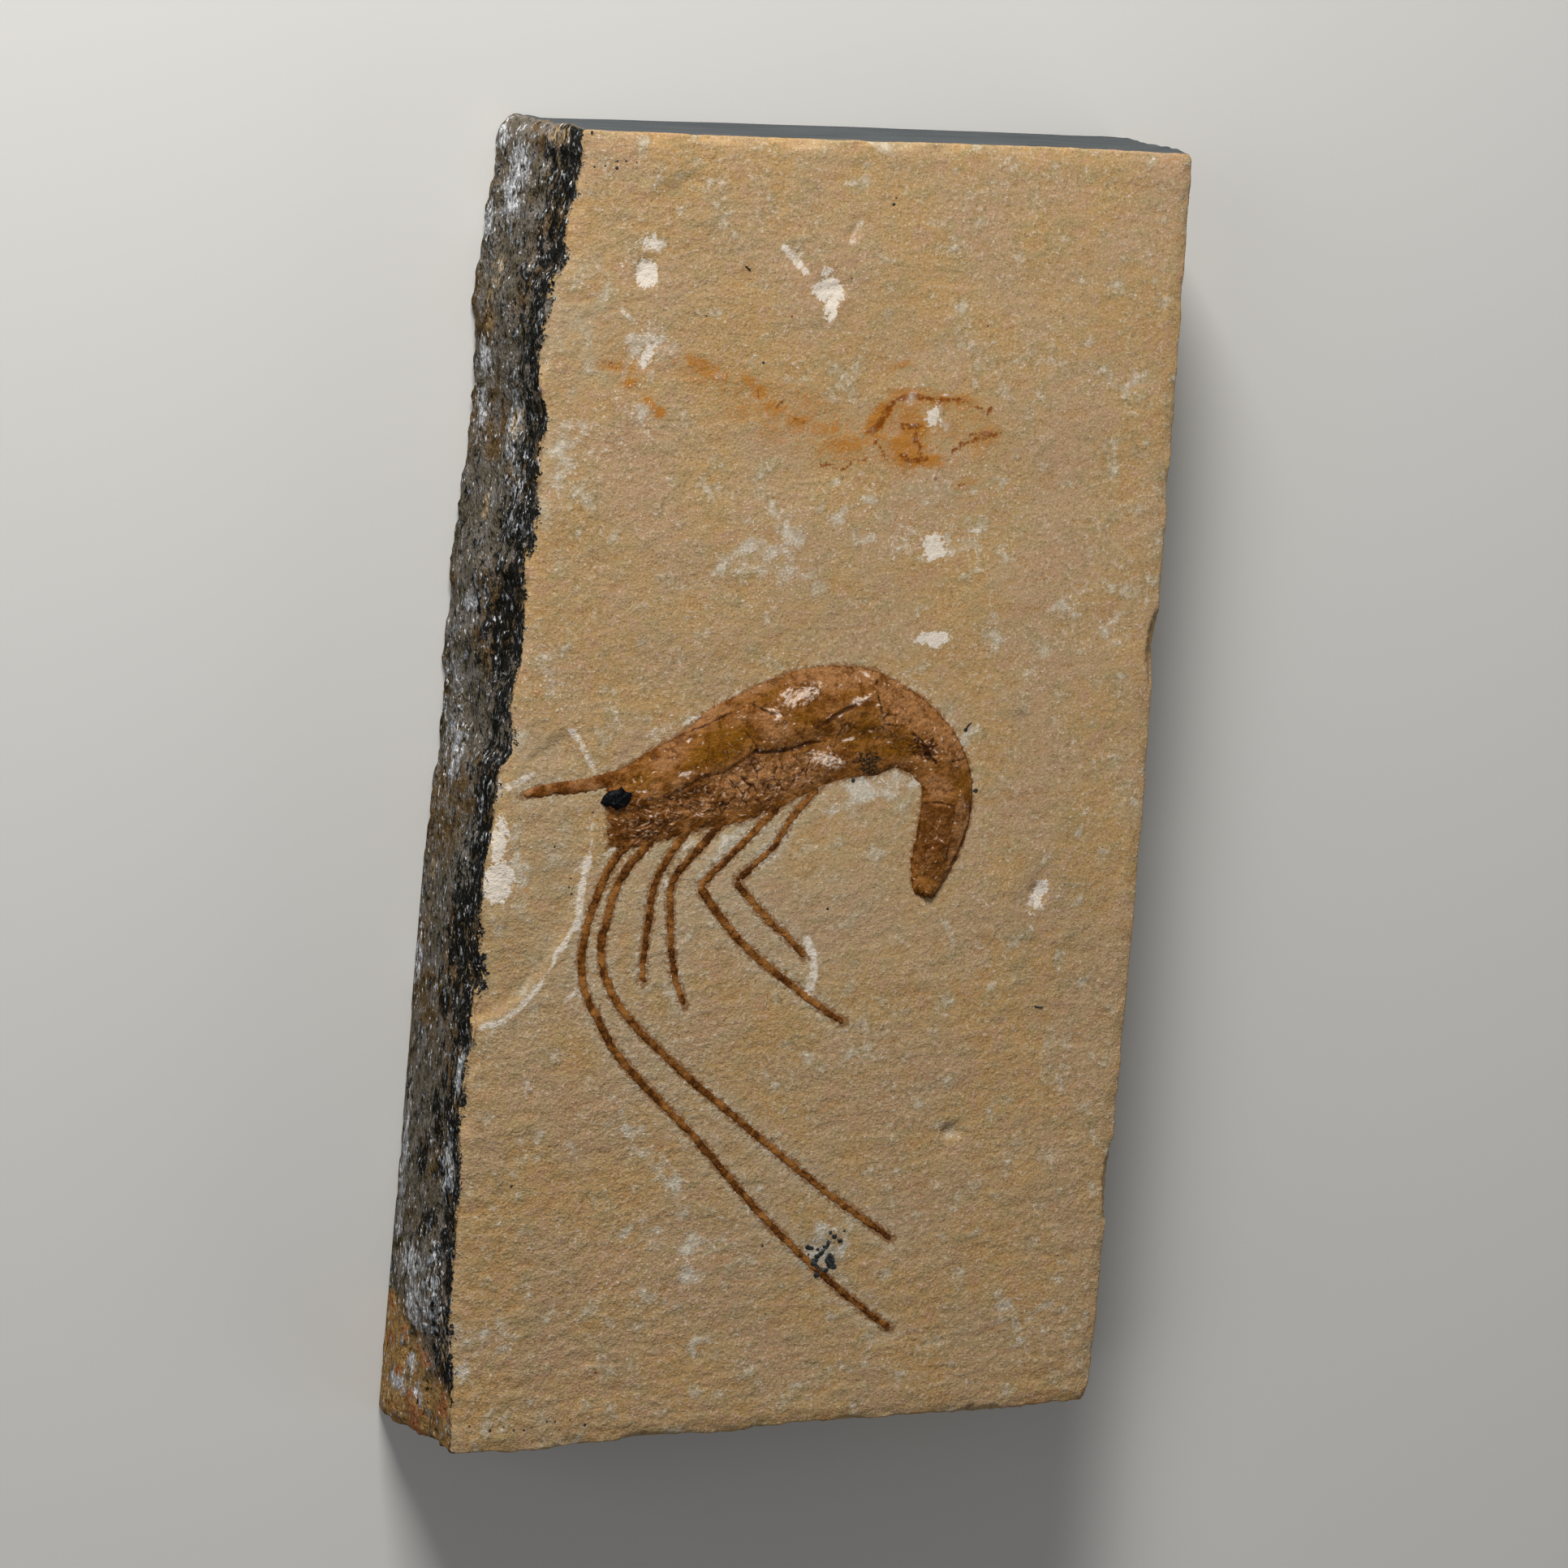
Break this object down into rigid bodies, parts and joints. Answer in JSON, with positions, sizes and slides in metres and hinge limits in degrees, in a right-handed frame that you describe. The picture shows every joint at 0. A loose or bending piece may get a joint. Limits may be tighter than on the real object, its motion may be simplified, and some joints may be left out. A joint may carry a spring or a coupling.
{
  "type": "fossil shrimp",
  "caption": "Thin block of tan limestone with a fossil shrimp in low relief on its split face, lying flat on its back.",
  "frame": {"origin": "centre of the block's underside, at the middle of its bounding box", "axes": "+Z out of the split face that carries the fossil, +Y along the block's length towards its sawn end, +X towards its broken right side"},
  "size_m": [0.0654, 0.1262, 0.0186],
  "materials": {
    "limestone": "fine-grained split limestone, matte, with a dark weathered crust on two sides",
    "fossil_film": "amber-brown mineral film, semi-gloss on the body and duller on legs and antennae"
  },
  "bodies": {
    "root": {"limestone_slab": "limestone", "fossil_shrimp": "fossil_film"}
  },
  "joints": []
}
